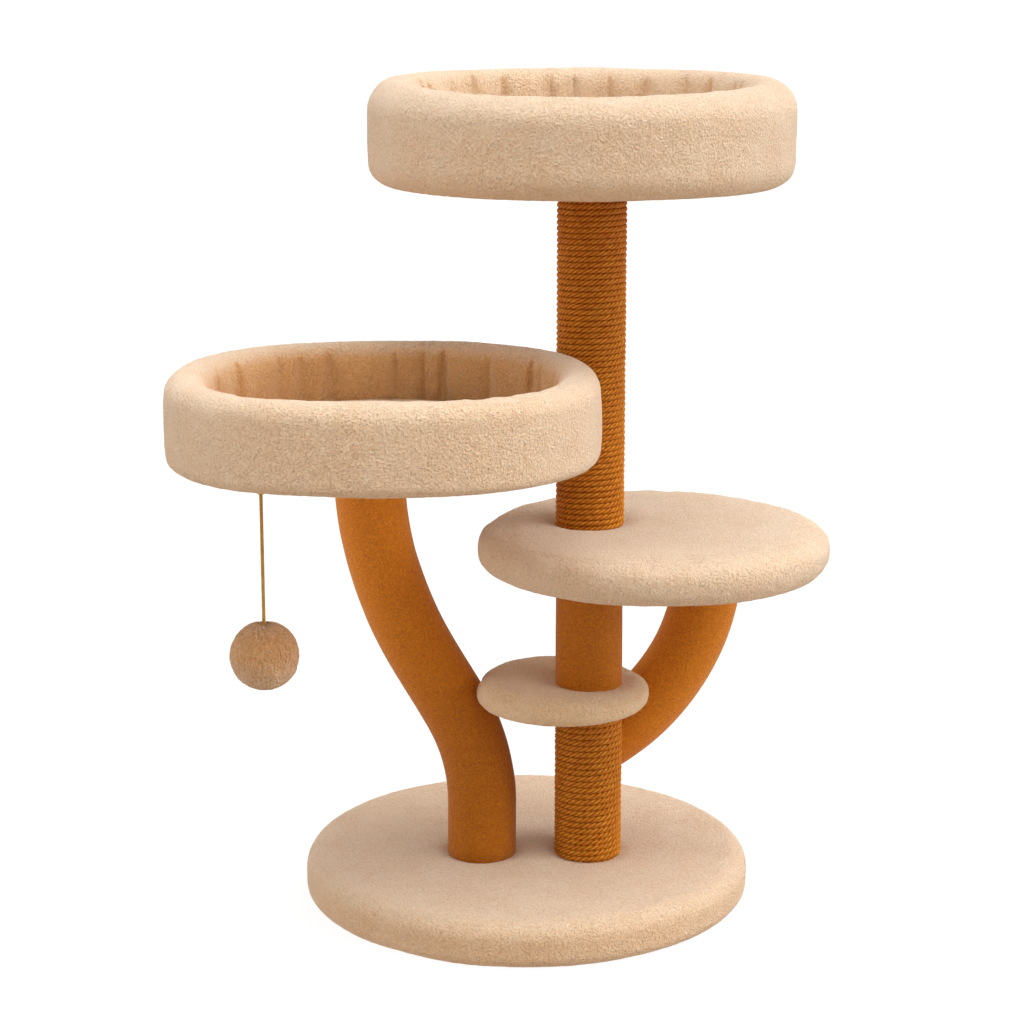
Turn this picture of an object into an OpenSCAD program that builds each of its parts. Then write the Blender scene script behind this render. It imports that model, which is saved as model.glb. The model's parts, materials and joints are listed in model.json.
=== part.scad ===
// Cat tree: a round base, a roped trunk in three sections, an S-shaped post, a curved branch,
// a small step, a round platform, two bolster beds and a plush ball on a string.
// Millimetres. Origin: centre of the base on the floor. +Z up, -Y is the front, +X the viewer's right.

/* [Base] */
// Radius of the padded base
base_r = 250; // [245:1:280]
// Height of the padded base
base_h = 50; // [48:1:60]
// Thickness of each of the two laminated base boards
base_board_t = 18; // [16:1:18]

/* [Trunk] */
// Trunk axis, to the right of the base centre
trunk_x = 69; // [66:1:72]
// Trunk axis, towards the back (negative is the front)
trunk_y = -23; // [-26:1:-20]
// Outer radius over the sisal winding
rope_r = 37.5; // [36.5:0.5:37.5]
// Diameter of the sisal rope
rope_d = 6; // [5:0.5:6]
// Outer radius of the felt-covered middle section
mid_r = 37; // [36:0.5:37]
// Wall of the paper tubes
tube_wall = 4; // [3:0.5:5]
// Thickness of the felt sleeves
felt_t = 2.5; // [2:0.5:3]

/* [Step] */
// Radius of the small step
step_r = 96; // [90:1:97]
// Height of its underside above the floor
step_z = 220; // [216:1:224]
// Thickness over the plush
step_h = 34; // [32:1:36]

/* [Platform] */
// Radius of the platform
platform_r = 191; // [185:1:195]
// Height of its underside above the floor
platform_z = 384; // [382:1:390]
// Thickness over the plush
platform_h = 47; // [44:1:50]

/* [Left bed] */
// Outer radius of the left bed
left_bed_r = 222; // [215:1:224]
// Height of its underside above the floor
left_bed_z = 536; // [534:1:540]
// Height of the bed from underside to rim
left_bed_h = 91; // [85:1:95]
// Width of its bolster wall
left_wall = 45; // [42:1:46]

/* [Top bed] */
// Outer radius of the top bed
top_bed_r = 227; // [220:1:232]
// Height of its underside above the floor
top_bed_z = 797; // [795:1:805]
// Height of the bed from underside to rim
top_bed_h = 118; // [105:1:122]
// Width of its bolster wall
top_wall = 50; // [46:1:52]

/* [Ball] */
// Radius of the plush ball
ball_r = 35; // [30:1:36]
// Height of the ball's centre above the floor
ball_z = 350; // [345:1:380]
// Diameter of the string
string_d = 3.4; // [3:0.1:3.6]

/* [Hidden] */
$fn = 64;
cut = 1;                 // how far a cutting solid runs past the face it opens

// Base build-up
liner_t = 2;             // non-slip felt under the boards
base_edge_top = 20;
base_edge_bottom = 14;
base_board_r = base_r - 18;
board_top_z = liner_t + 2 * base_board_t;
post_gap = 0.4;          // cover hole round a post

// Fasteners
bolt_recess = 9;         // counterbore under the lower board for a head and its washer
bolt_r = 4;              // M8
head_r = 8;
head_h = 5;
washer_r = 11;
washer_t = 1.6;
insert_r = 6;
insert_l = 14;
plug_l = 22;
stud_reach = 18;         // how far a stud goes into each plug

// Straight tubes
rope_tube_r = rope_r - rope_d;
mid_tube_r = mid_r - felt_t;

// Boards of the step and the platform
step_x = 40;
step_y = -20;
step_board_r = step_r - 14;
step_board_t = 12;
step_board_z = step_z + 11;
step_edge = 16;
platform_x = 138;
platform_y = -37;
platform_board_r = platform_r - 13;
platform_board_t = 15;
platform_board_z = platform_z + 16;
platform_edge = 22;
platform_edge_bottom = 18;

// S-shaped left post. Each half has a straight end, a bend and a second straight that leans by the
// same angle. Every angle has an exact decimal sine and cosine, so each half is one clean solid.
post_x = -50.4;          // centre of the foot, on the base boards
post_y = -25.2;
post_r = 38.5;
post_tube_r = post_r - felt_t;
post_lean_sin = 0.5376;  // 32.5 degrees
post_lean_cos = 0.8432;
post_lean = asin(post_lean_sin);
// The foot leans back by 11.9 degrees, so the post passes behind the step: 16.26 less 4.35
post_tilts = [asin(0.28), asin(0.07584)];
post_azimuth = 180 + asin(0.352); // direction of the lower bend, round the tilted foot
post_twist = 90 + post_lean;      // direction of the upper bend, round the leaning stretch
post_foot = 65.5;        // straight length below the lower bend
post_bend_low = 205;     // bend radius of the centreline, low
post_half = 31.5;        // leaning length on each side of the joint
post_bend_high = 370;    // bend radius of the centreline, high
post_head = 110;         // straight length above the upper bend, before it is cut off level
post_spare = 12;         // extra length below the foot, before it is cut off level
post_dowel = 56;         // wood dowel inside the joint
post_block_corner = [-400, -300]; // the blocks that cut the post off level
post_block = [600, 500];
post_block_low = 100;
post_block_high = 200;

// Curved branch: lapped on the back of the trunk, rising to the platform
branch_r = 38;
branch_tube_r = branch_r - felt_t;
branch_y = trunk_y + 71; // the plane of the branch passes behind the trunk
branch_azimuth = 7;
branch_bend = 244;       // bend radius of the centreline
branch_turn = 70;
branch_bend_x = -103.5;    // bend centre, from the trunk axis along the branch's plane
branch_bend_z = 370;
branch_top = branch_bend_x + branch_bend;
branch_bolt_x = [-6, 9];
branch_bolt_r = 3;
branch_bolt_reach = 24;  // how far a cross bolt runs past the branch, into the trunk's block
branch_head_r = 5.5;
branch_head_h = 4;
branch_washer_r = 7;
anchor_z = 125;          // block inside the trunk for the cross bolts
anchor_h = 55;

// Beds
left_bed_x = -146;
left_bed_y = -188;
top_bed_x = 57;
top_bed_y = -23;
bed_board_t = 9;
bed_board_rise = 5;      // underside pad below the board
bed_board_in = 20;       // board edge inside the bolster's outer face
lining_t = 3;
bed_head_r = 10;
left_edge_bottom = 18;
top_edge_bottom = 30;
cushion_gap = 5;
cushion_h = 12;
cushion_edge = 5;
lift_gap = 0.3;

// Toy: eye, ring, string and ball, on one vertical line under the left bed
toy_x = -264;
toy_y = -275;
eye_R = 5;
eye_r = 1.25;
eye_z = 531;
eye_pocket_r = 8;        // dimple in the underside pad round the top of the eye
ring_R = 5;
ring_r = 1;
ring_z = eye_z - eye_R + eye_r + 0.1 + ring_r - ring_R;
loop_gap = 0.25;
string_r = string_d / 2;
loop_r = 1.5;
loop_R = ring_r + loop_gap + loop_r;
loop_z = ring_z - ring_R;
string_top = loop_z - loop_R;
knot_r = 5;
ball_wall = 5;
string_bore = string_r + 0.2;
string_sides = 8;
// Heights of the string's rings below its top; the string hangs straight
string_route = [0, 10, 20, 30, 40, 50, 60, 70, 80, 90, 100, 110, 120, 130, 140, 150, 160];

// Colours
plush = [0.89, 0.76, 0.62];
plush_light = [0.93, 0.82, 0.70];
felt = [0.68, 0.38, 0.12];
sisal = [0.72, 0.42, 0.15];
timber = [0.80, 0.66, 0.46];
paper = [0.66, 0.53, 0.38];
steel = [0.66, 0.67, 0.69];

// ---------- places ----------

module at_trunk(z) { translate([trunk_x, trunk_y, z]) children(); }

module at_post_foot(z) { translate([post_x, post_y, z]) children(); }

// The tilted foot of the left post, from the top of the base boards
module at_lower_half() {
    translate([post_x, post_y, board_top_z]) rotate([-post_tilts[0], 0, 0]) rotate([post_tilts[1], 0, 0])
        rotate([0, 0, post_azimuth]) children();
}

// The joint in the middle of the post's leaning stretch
module at_upper_half() {
    at_lower_half() translate([0, 0, post_foot]) after_bend(post_bend_low)
        translate([0, 0, post_half]) rotate([0, 0, post_twist]) children();
}

// The end of the upper bend
module at_post_head() {
    at_upper_half() translate([0, 0, post_half]) after_bend(post_bend_high) children();
}

module at_post_top(z) { translate([post_top_x, post_top_y, z]) children(); }

module at_branch() { translate([trunk_x, branch_y, 0]) rotate([0, 0, branch_azimuth]) children(); }

module at_left_bed(z) { translate([left_bed_x, left_bed_y, z]) children(); }

module at_top_bed(z) { translate([top_bed_x, top_bed_y, z]) children(); }

module at_toy(z) { translate([toy_x, toy_y, z]) children(); }

// Where the post's axis meets the underside of the bed's board: the same moves as above, on points
function turn_x(v, a) = [v[0], v[1] * cos(a) - v[2] * sin(a), v[1] * sin(a) + v[2] * cos(a)];
function turn_y(v, a) = [v[0] * cos(a) + v[2] * sin(a), v[1], v[2] * cos(a) - v[0] * sin(a)];
function turn_z(v, a) = [v[0] * cos(a) - v[1] * sin(a), v[0] * sin(a) + v[1] * cos(a), v[2]];
function bent(v, radius) =
    [radius * (1 - post_lean_cos), 0, radius * post_lean_sin] + turn_y(v, post_lean);
function in_lower(v) = [post_x, post_y, board_top_z]
    + turn_x(turn_z(v, post_azimuth), post_tilts[1] - post_tilts[0]);
function in_upper(v) = in_lower([0, 0, post_foot]
    + bent([0, 0, post_half] + turn_z(v, post_twist), post_bend_low));
function past_bend(length) = in_upper([0, 0, post_half] + bent([0, 0, length], post_bend_high));

// ---------- shapes ----------

// A disc with a rounded rim; the top and bottom rim radii differ
module soft_disc(r, h, top, bottom) {
    rotate_extrude() union() {
        square([r - bottom, h / 2]);
        translate([0, h / 2]) square([r - top, h / 2]);
        translate([0, bottom]) square([r, h - bottom - top]);
        translate([r - top, h - top]) intersection() {
            circle(top);
            square(top);
        }
        translate([r - bottom, bottom]) intersection() {
            circle(bottom);
            translate([0, -bottom]) square(bottom);
        }
    }
}

module pipe(r_out, r_in, h) {
    difference() {
        cylinder(r = r_out, h = h);
        translate([0, 0, -cut]) cylinder(r = r_in, h = h + 2 * cut);
    }
}

module hole(r, h) { translate([0, 0, -cut]) cylinder(r = r, h = h + 2 * cut); }

// Moves to the far end of a bend of the given radius that leans the post towards +X
module after_bend(radius) {
    translate([radius * (1 - post_lean_cos), 0, radius * post_lean_sin])
        rotate([0, post_lean, 0]) children();
}

// A round bar that starts upright at the origin and bends towards +X, up to the post's lean
module bend(radius, r) {
    difference() {
        translate([radius, 0, 0]) rotate([90, 0, 180])
            rotate_extrude(angle = 90, $fn = 128) translate([radius, 0]) circle(r);
        after_bend(radius) translate([-2 * radius, -2 * r, 0]) cube([4 * radius, 4 * r, 2 * radius]);
    }
}

// A torus whose axis is Y
module eyelet(ring_radius, wire_r) {
    rotate([90, 0, 0]) rotate_extrude() translate([ring_radius, 0]) circle(wire_r);
}

// One half of the left post as a solid bar: a straight from -start to first, the bend, a leaning end
module post_half_form(r, start, first, radius, second) {
    translate([0, 0, -start]) cylinder(r = r, h = first + start);
    translate([0, 0, first]) {
        bend(radius, r);
        after_bend(radius) cylinder(r = r, h = second);
    }
}

// Blocks that fill what lies below or above a level, over the whole reach of the post
module below(z) {
    translate([post_block_corner[0], post_block_corner[1], z - post_block_low])
        cube([post_block[0], post_block[1], post_block_low]);
}

module above(z) {
    translate([post_block_corner[0], post_block_corner[1], z])
        cube([post_block[0], post_block[1], post_block_high]);
}

// Half of a hollow post layer, from the base boards up to the joint
module post_lower(r_out, r_in) {
    difference() {
        at_lower_half() difference() {
            post_half_form(r_out, post_spare, post_foot, post_bend_low, post_half);
            post_half_form(r_in, post_spare + cut, post_foot, post_bend_low, post_half + cut);
        }
        below(board_top_z);
    }
}

// The other half, from the joint up to height top
module post_upper(r_out, r_in, top) {
    difference() {
        at_upper_half() difference() {
            post_half_form(r_out, 0, post_half, post_bend_high, post_head);
            post_half_form(r_in, cut, post_half, post_bend_high, post_head + cut);
        }
        above(top);
    }
}

// The leaning stretch of the post, lengthened both ways, for cutting the step clear of it
module post_clearance(r) {
    at_upper_half() translate([0, 0, -4 * post_half]) cylinder(r = r, h = 8 * post_half);
}

// The branch as a solid bar of radius r, up to height high; extra lengthens its lower end, in degrees
module branch_form(r, high, extra = 0) {
    at_branch() union() {
        translate([branch_bend_x, 0, branch_bend_z]) rotate([90, 0, 0])
            rotate_extrude(angle = -branch_turn - extra, $fn = 128) translate([branch_bend, 0]) circle(r);
        translate([branch_top, 0, branch_bend_z]) cylinder(r = r, h = high - branch_bend_z);
    }
}

// Bar across the branch and into the trunk, from back to front at the branch's centreline
module branch_cross(x, r, back, length) {
    angle = acos((x - branch_bend_x) / branch_bend);
    at_branch() translate([x, back, branch_bend_z - branch_bend * sin(angle)])
        rotate([90, 0, 0]) cylinder(r = r, h = length);
}

module trunk_cope(r) { at_trunk(0) cylinder(r = r, h = platform_z); }

module plug(r) {
    difference() {
        cylinder(r = r, h = plug_l);
        translate([0, 0, -cut]) cylinder(r = bolt_r, h = plug_l + 2 * cut);
    }
}

// A plug with its threaded insert's seat at the bottom or the top end
module seated_plug(r, seat_at_top) {
    difference() {
        plug(r);
        translate([0, 0, seat_at_top ? plug_l - insert_l : -cut])
            cylinder(r = insert_r, h = insert_l + cut);
    }
}

module insert() { pipe(insert_r, bolt_r, insert_l); }

// A bolt that stands on its head
module bolt(head_radius, head_height, length) {
    cylinder(r = head_radius, h = head_height);
    cylinder(r = bolt_r, h = head_height + length);
}

// ---------- base ----------

module base_liner() {
    color([0.25, 0.24, 0.23]) difference() {
        cylinder(r = base_board_r, h = liner_t);
        at_trunk(0) hole(washer_r + 2, liner_t);
        at_post_foot(0) hole(washer_r + 2, liner_t);
    }
}

// A bolt's hole through the lower board, with its recess from below
module board_fixing() {
    hole(bolt_r, base_board_t);
    translate([0, 0, -cut]) cylinder(r = washer_r + 1, h = cut + bolt_recess);
}

module base_board_lower() {
    color(timber) translate([0, 0, liner_t]) difference() {
        cylinder(r = base_board_r, h = base_board_t);
        at_trunk(0) board_fixing();
        at_post_foot(0) board_fixing();
    }
}

module base_board_upper() {
    color(timber) translate([0, 0, liner_t + base_board_t]) difference() {
        cylinder(r = base_board_r, h = base_board_t);
        at_trunk(0) hole(bolt_r, base_board_t);
        at_post_foot(0) hole(bolt_r, base_board_t);
    }
}

module base_cover() {
    color(plush_light) difference() {
        soft_disc(base_r, base_h, base_edge_top, base_edge_bottom);
        translate([0, 0, -cut]) cylinder(r = base_board_r, h = board_top_z + cut);
        at_trunk(0) hole(rope_r + post_gap, base_h);
        at_lower_half() translate([0, 0, -2 * post_spare])
            cylinder(r = post_r + post_gap, h = 2 * base_h);
    }
}

// Height of a base bolt's head and of the washer above it
base_head_z = liner_t + bolt_recess - washer_t - head_h;

module base_bolts() {
    color(steel) {
        at_trunk(base_head_z) bolt(head_r, head_h, board_top_z + stud_reach - base_head_z - head_h);
        at_post_foot(base_head_z) bolt(head_r, head_h, board_top_z + stud_reach - base_head_z - head_h);
    }
}

module base_washers() {
    color(steel) {
        at_trunk(base_head_z + head_h) pipe(washer_r, bolt_r, washer_t);
        at_post_foot(base_head_z + head_h) pipe(washer_r, bolt_r, washer_t);
    }
}

// ---------- trunk ----------

step_top = step_z + step_h;
step_board_top = step_board_z + step_board_t;
platform_top = platform_z + platform_h;
platform_board_top = platform_board_z + platform_board_t;
top_board_z = top_bed_z + bed_board_rise;

module trunk_lower_tube() {
    color(paper) at_trunk(board_top_z) difference() {
        pipe(rope_tube_r, rope_tube_r - tube_wall, step_board_z - board_top_z);
        translate([-trunk_x, -trunk_y, -board_top_z])
            for (x = branch_bolt_x) branch_cross(x, branch_bolt_r, branch_r, 2 * branch_r + rope_r);
    }
}

module trunk_lower_rope() {
    color(sisal) difference() {
        at_trunk(board_top_z) pipe(rope_r, rope_tube_r, step_z - board_top_z);
        for (x = branch_bolt_x) branch_cross(x, branch_bolt_r, branch_r, 2 * branch_r + rope_r);
    }
}

module trunk_mid_tube() {
    color(paper) at_trunk(step_board_top)
        pipe(mid_tube_r, mid_tube_r - tube_wall, platform_board_z - step_board_top);
}

module trunk_mid_sleeve() {
    color(felt) at_trunk(step_top) pipe(mid_r, mid_tube_r, platform_z - step_top);
}

module trunk_upper_tube() {
    color(paper) at_trunk(platform_board_top)
        pipe(rope_tube_r, rope_tube_r - tube_wall, top_board_z - platform_board_top);
}

module trunk_upper_rope() {
    color(sisal) at_trunk(platform_top) pipe(rope_r, rope_tube_r, top_bed_z - platform_top);
}

module trunk_plugs() {
    rope_plug_r = rope_tube_r - tube_wall;
    mid_plug_r = mid_tube_r - tube_wall;
    color(timber) {
        at_trunk(board_top_z) seated_plug(rope_plug_r, false);
        at_trunk(step_board_z - plug_l) seated_plug(rope_plug_r, true);
        at_trunk(step_board_top) seated_plug(mid_plug_r, false);
        at_trunk(platform_board_z - plug_l) seated_plug(mid_plug_r, true);
        at_trunk(platform_board_top) seated_plug(rope_plug_r, false);
        at_trunk(top_board_z - plug_l) seated_plug(rope_plug_r, true);
    }
}

module trunk_inserts() {
    color(steel) {
        for (z = [board_top_z, step_board_top, platform_board_top]) at_trunk(z) insert();
        for (z = [step_board_z, platform_board_z, top_board_z]) at_trunk(z - insert_l) insert();
    }
}

module trunk_studs() {
    color(steel) {
        at_trunk(step_board_z - stud_reach) cylinder(r = bolt_r, h = step_board_t + 2 * stud_reach);
        at_trunk(platform_board_z - stud_reach)
            cylinder(r = bolt_r, h = platform_board_t + 2 * stud_reach);
    }
}

// Wood block inside the lower tube that takes the branch's cross bolts
module trunk_anchor_block() {
    color(timber) difference() {
        at_trunk(anchor_z) cylinder(r = rope_tube_r - tube_wall, h = anchor_h);
        for (x = branch_bolt_x) branch_cross(x, branch_bolt_r, branch_r, 2 * branch_r + rope_r);
    }
}

// ---------- step and platform ----------

module step_board() {
    color(timber) difference() {
        translate([step_x, step_y, step_board_z]) cylinder(r = step_board_r, h = step_board_t);
        at_trunk(step_board_z) hole(bolt_r, step_board_t);
        post_clearance(post_r + 8);
    }
}

// The step's plush and foam, coped round the left post and open for the trunk
module step_cover() {
    color(plush) difference() {
        translate([step_x, step_y, step_z]) soft_disc(step_r, step_h, step_edge, step_edge);
        difference() {
            translate([step_x, step_y, step_board_z]) cylinder(r = step_board_r, h = step_board_t);
            post_clearance(post_r + 8);
        }
        at_trunk(step_z - cut) cylinder(r = rope_tube_r, h = step_board_z - step_z + cut);
        at_trunk(step_board_top) cylinder(r = mid_tube_r, h = step_top - step_board_top + cut);
        post_clearance(post_r + 1);
    }
}

module platform_board() {
    color(timber) difference() {
        translate([platform_x, platform_y, platform_board_z])
            cylinder(r = platform_board_r, h = platform_board_t);
        at_trunk(platform_board_z) hole(bolt_r, platform_board_t);
        at_branch() translate([branch_top, 0, platform_board_z]) {
            hole(bolt_r, platform_board_t);
            translate([0, 0, platform_board_t - head_h]) cylinder(r = head_r + 1, h = head_h + cut);
        }
    }
}

module platform_cover() {
    color(plush_light) difference() {
        translate([platform_x, platform_y, platform_z])
            soft_disc(platform_r, platform_h, platform_edge, platform_edge_bottom);
        translate([platform_x, platform_y, platform_board_z])
            cylinder(r = platform_board_r, h = platform_board_t);
        at_trunk(platform_z - cut) cylinder(r = mid_tube_r, h = platform_board_z - platform_z + cut);
        at_trunk(platform_board_top)
            cylinder(r = rope_tube_r, h = platform_top - platform_board_top + cut);
        at_branch() translate([branch_top, 0, platform_z - cut])
            cylinder(r = branch_tube_r, h = platform_board_z - platform_z + cut);
    }
}

// ---------- left post ----------

left_board_z = left_bed_z + bed_board_rise;

// Point where the post's axis reaches the underside of the bed's board
post_head_from = past_bend(0);
post_head_way = past_bend(1) - post_head_from;
post_head_l = (left_board_z - post_head_from[2]) / post_head_way[2];
post_top_x = past_bend(post_head_l)[0];
post_top_y = past_bend(post_head_l)[1];

module left_post_tube_lower() { color(paper) post_lower(post_tube_r, post_tube_r - tube_wall); }

module left_post_tube_upper() {
    color(paper) post_upper(post_tube_r, post_tube_r - tube_wall, left_board_z);
}

module left_post_sleeve_lower() { color(felt) post_lower(post_r, post_tube_r); }

module left_post_sleeve_upper() { color(felt) post_upper(post_r, post_tube_r, left_bed_z); }

// Dowel glued into both tubes at the joint
module left_post_dowel() {
    color(timber) at_upper_half() translate([0, 0, -post_dowel / 2])
        cylinder(r = post_tube_r - tube_wall, h = post_dowel);
}

// The post's plugs follow the tilted tube, but their holes are upright
module left_post_plugs() {
    plug_r = post_tube_r - tube_wall;
    color(timber) {
        difference() {
            at_lower_half() translate([0, 0, -post_spare]) cylinder(r = plug_r, h = post_spare + plug_l);
            below(board_top_z);
            at_post_foot(board_top_z) {
                hole(bolt_r, 2 * plug_l);
                hole(insert_r, insert_l - cut);
            }
        }
        difference() {
            at_post_head() translate([0, 0, post_head_l - plug_l]) cylinder(r = plug_r, h = 2 * plug_l);
            above(left_board_z);
            at_post_top(left_board_z) {
                translate([0, 0, -2 * plug_l]) cylinder(r = bolt_r, h = 3 * plug_l);
                translate([0, 0, -insert_l]) cylinder(r = insert_r, h = plug_l);
            }
        }
    }
}

module left_post_inserts() {
    color(steel) {
        at_post_foot(board_top_z) insert();
        at_post_top(left_board_z - insert_l) insert();
    }
}

// ---------- branch ----------

module branch_tube() {
    color(paper) difference() {
        branch_form(branch_tube_r, platform_board_z);
        branch_form(branch_tube_r - tube_wall, platform_board_z + cut, cut);
        trunk_cope(rope_r);
        for (x = branch_bolt_x) branch_cross(x, branch_bolt_r, branch_r + cut, 2 * (branch_r + cut));
    }
}

module branch_sleeve() {
    color(felt) difference() {
        branch_form(branch_r, platform_z);
        branch_form(branch_tube_r, platform_z + cut, cut);
        trunk_cope(rope_r);
        for (x = branch_bolt_x) {
            branch_cross(x, branch_bolt_r, branch_r + cut, 2 * (branch_r + cut));
            branch_cross(x, branch_washer_r + 0.3, branch_r + cut, cut + washer_t);
        }
    }
}

// Lower plug: a solid length of the branch's bore, coped to the trunk; upper plug: as in the posts
module branch_plugs() {
    color(timber) {
        difference() {
            intersection() {
                branch_form(branch_tube_r - tube_wall, branch_bend_z + cut);
                at_branch() translate([-2 * branch_r, -branch_r, 0])
                    cube([2.6 * branch_r, 2 * branch_r, anchor_z + anchor_h]);
            }
            trunk_cope(rope_r);
            for (x = branch_bolt_x) branch_cross(x, branch_bolt_r, branch_r, 2 * branch_r);
        }
        at_branch() translate([branch_top, 0, platform_board_z - plug_l])
            seated_plug(branch_tube_r - tube_wall, true);
    }
}

module branch_end_cap() {
    color(felt) difference() {
        at_branch() translate([branch_bend_x + branch_bend * cos(branch_turn), 0,
                               branch_bend_z - branch_bend * sin(branch_turn)])
            rotate([0, branch_turn, 0]) translate([0, 0, -felt_t]) cylinder(r = branch_r, h = felt_t);
        trunk_cope(rope_r);
    }
}

module branch_insert() {
    color(steel) at_branch() translate([branch_top, 0, platform_board_z - insert_l]) insert();
}

module branch_top_bolt() {
    color(steel) at_branch() translate([branch_top, 0, platform_board_top]) mirror([0, 0, 1])
        bolt(head_r, head_h, platform_board_t - head_h + stud_reach);
}

module branch_cross_bolts() {
    color(steel) for (x = branch_bolt_x) {
        branch_cross(x, branch_head_r, branch_r + branch_head_h, branch_head_h);
        branch_cross(x, branch_bolt_r, branch_r, 2 * branch_r + branch_bolt_reach);
    }
}

module branch_washers() {
    color(steel) for (x = branch_bolt_x) difference() {
        branch_cross(x, branch_washer_r, branch_r, washer_t);
        branch_cross(x, branch_bolt_r, branch_r + cut, washer_t + 2 * cut);
    }
}

// ---------- beds ----------

// Ring-shaped bolster with a full round on top, a rounded outer foot and a slot for the board
module bolster(r, wall, h, foot) {
    difference() {
        rotate_extrude($fn = 128) union() {
            translate([r - wall, 0]) square([wall - foot, h / 2]);
            translate([r - wall, foot]) square([wall, h - wall / 2 - foot]);
            translate([r - foot, foot]) intersection() {
                circle(foot);
                translate([0, -foot]) square(foot);
            }
            translate([r - wall / 2, h - wall / 2]) circle(wall / 2);
        }
        translate([0, 0, bed_board_rise]) cylinder(r = r - bed_board_in, h = bed_board_t);
    }
}

module bed_cushion(r) { soft_disc(r, cushion_h, cushion_edge, cushion_edge); }

module left_bed_board() {
    color(timber) difference() {
        at_left_bed(left_board_z) cylinder(r = left_bed_r - bed_board_in, h = bed_board_t);
        at_post_top(left_board_z) hole(bolt_r, bed_board_t);
    }
}

module left_bed_underside() {
    color(plush) difference() {
        at_left_bed(left_bed_z) cylinder(r = left_bed_r - left_wall, h = bed_board_rise);
        at_post_head() cylinder(r = post_tube_r, h = post_head);
        at_toy(left_bed_z) hole(eye_r, bed_board_rise);
        at_toy(left_bed_z - cut) cylinder(r = eye_pocket_r, h = cut + 2 * eye_r);
    }
}

module left_bed_bolster() {
    color(plush_light) at_left_bed(left_bed_z)
        bolster(left_bed_r, left_wall, left_bed_h, left_edge_bottom);
}

module left_bed_lining() {
    color(plush) difference() {
        at_left_bed(left_board_z + bed_board_t) cylinder(r = left_bed_r - left_wall, h = lining_t);
        at_post_top(left_board_z + bed_board_t) hole(washer_r + 2, lining_t);
    }
}

module left_bed_cushion() {
    color(plush) at_left_bed(left_board_z + bed_board_t + lining_t + lift_gap)
        bed_cushion(left_bed_r - left_wall - cushion_gap);
}

// A bed bolt has a flat head on a washer, under the cushion
bed_head_h = lining_t - washer_t;

module left_bed_bolt() {
    color(steel) at_post_top(left_board_z + bed_board_t + lining_t) mirror([0, 0, 1])
        bolt(bed_head_r, bed_head_h, washer_t + bed_board_t + stud_reach);
}

module left_bed_washer() {
    color(steel) at_post_top(left_board_z + bed_board_t) pipe(washer_r, bolt_r, washer_t);
}

module top_bed_board() {
    color(timber) difference() {
        at_top_bed(top_board_z) cylinder(r = top_bed_r - bed_board_in, h = bed_board_t);
        at_trunk(top_board_z) hole(bolt_r, bed_board_t);
    }
}

module top_bed_underside() {
    color(plush) difference() {
        at_top_bed(top_bed_z) cylinder(r = top_bed_r - top_wall, h = bed_board_rise);
        at_trunk(top_bed_z) hole(rope_tube_r, bed_board_rise);
    }
}

module top_bed_bolster() {
    color(plush_light) at_top_bed(top_bed_z) bolster(top_bed_r, top_wall, top_bed_h, top_edge_bottom);
}

module top_bed_lining() {
    color(plush) difference() {
        at_top_bed(top_board_z + bed_board_t) cylinder(r = top_bed_r - top_wall, h = lining_t);
        at_trunk(top_board_z + bed_board_t) hole(washer_r + 2, lining_t);
    }
}

module top_bed_cushion() {
    color(plush) at_top_bed(top_board_z + bed_board_t + lining_t + lift_gap)
        bed_cushion(top_bed_r - top_wall - cushion_gap);
}

module top_bed_bolt() {
    color(steel) at_trunk(top_board_z + bed_board_t + lining_t) mirror([0, 0, 1])
        bolt(bed_head_r, bed_head_h, washer_t + bed_board_t + stud_reach);
}

module top_bed_washer() {
    color(steel) at_trunk(top_board_z + bed_board_t) pipe(washer_r, bolt_r, washer_t);
}

// ---------- toy ----------

module toy_eye() {
    color(steel) {
        at_toy(eye_z) eyelet(eye_R, eye_r);
        at_toy(eye_z + eye_R) cylinder(r = eye_r, h = left_board_z - eye_z - eye_R);
    }
}

// The ring hangs in the eye, so it lies in the plane across it
module toy_ring() { color(steel) at_toy(ring_z) rotate([0, 0, 90]) eyelet(ring_R, ring_r); }

module toy_loop() { color("goldenrod") at_toy(loop_z) eyelet(loop_R, loop_r); }

function string_ring(depth) = [
    for (i = [0 : string_sides - 1])
        [string_r * cos(360 * i / string_sides), string_r * sin(360 * i / string_sides), -depth]
];

module toy_string() {
    rings = len(string_route);
    sides = string_sides;
    points = [for (depth = string_route) each string_ring(depth)];
    walls = [
        for (k = [0 : rings - 2], i = [0 : sides - 1])
            let (a = k * sides + i, b = k * sides + (i + 1) % sides) [a, b, b + sides, a + sides]
    ];
    top_face = [for (i = [sides - 1 : -1 : 0]) i];
    end_face = [for (i = [0 : sides - 1]) (rings - 1) * sides + i];
    color("goldenrod") at_toy(string_top) polyhedron(points, concat([top_face], walls, [end_face]));
}

string_end_z = string_top - string_route[len(string_route) - 1];

module toy_ball_core() {
    color("wheat") difference() {
        at_toy(ball_z) sphere(ball_r - ball_wall);
        at_toy(string_end_z) cylinder(r = string_bore, h = 2 * ball_r);
        at_toy(string_end_z - knot_r) sphere(knot_r);
    }
}

module toy_ball_cover() {
    color([0.76, 0.58, 0.42]) difference() {
        at_toy(ball_z) sphere(ball_r);
        at_toy(ball_z) sphere(ball_r - ball_wall);
        at_toy(ball_z) cylinder(r = string_bore, h = 2 * ball_r);
    }
}

module toy_knot() { color("goldenrod") at_toy(string_end_z - knot_r) sphere(knot_r); }

// ---------- the object ----------

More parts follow.
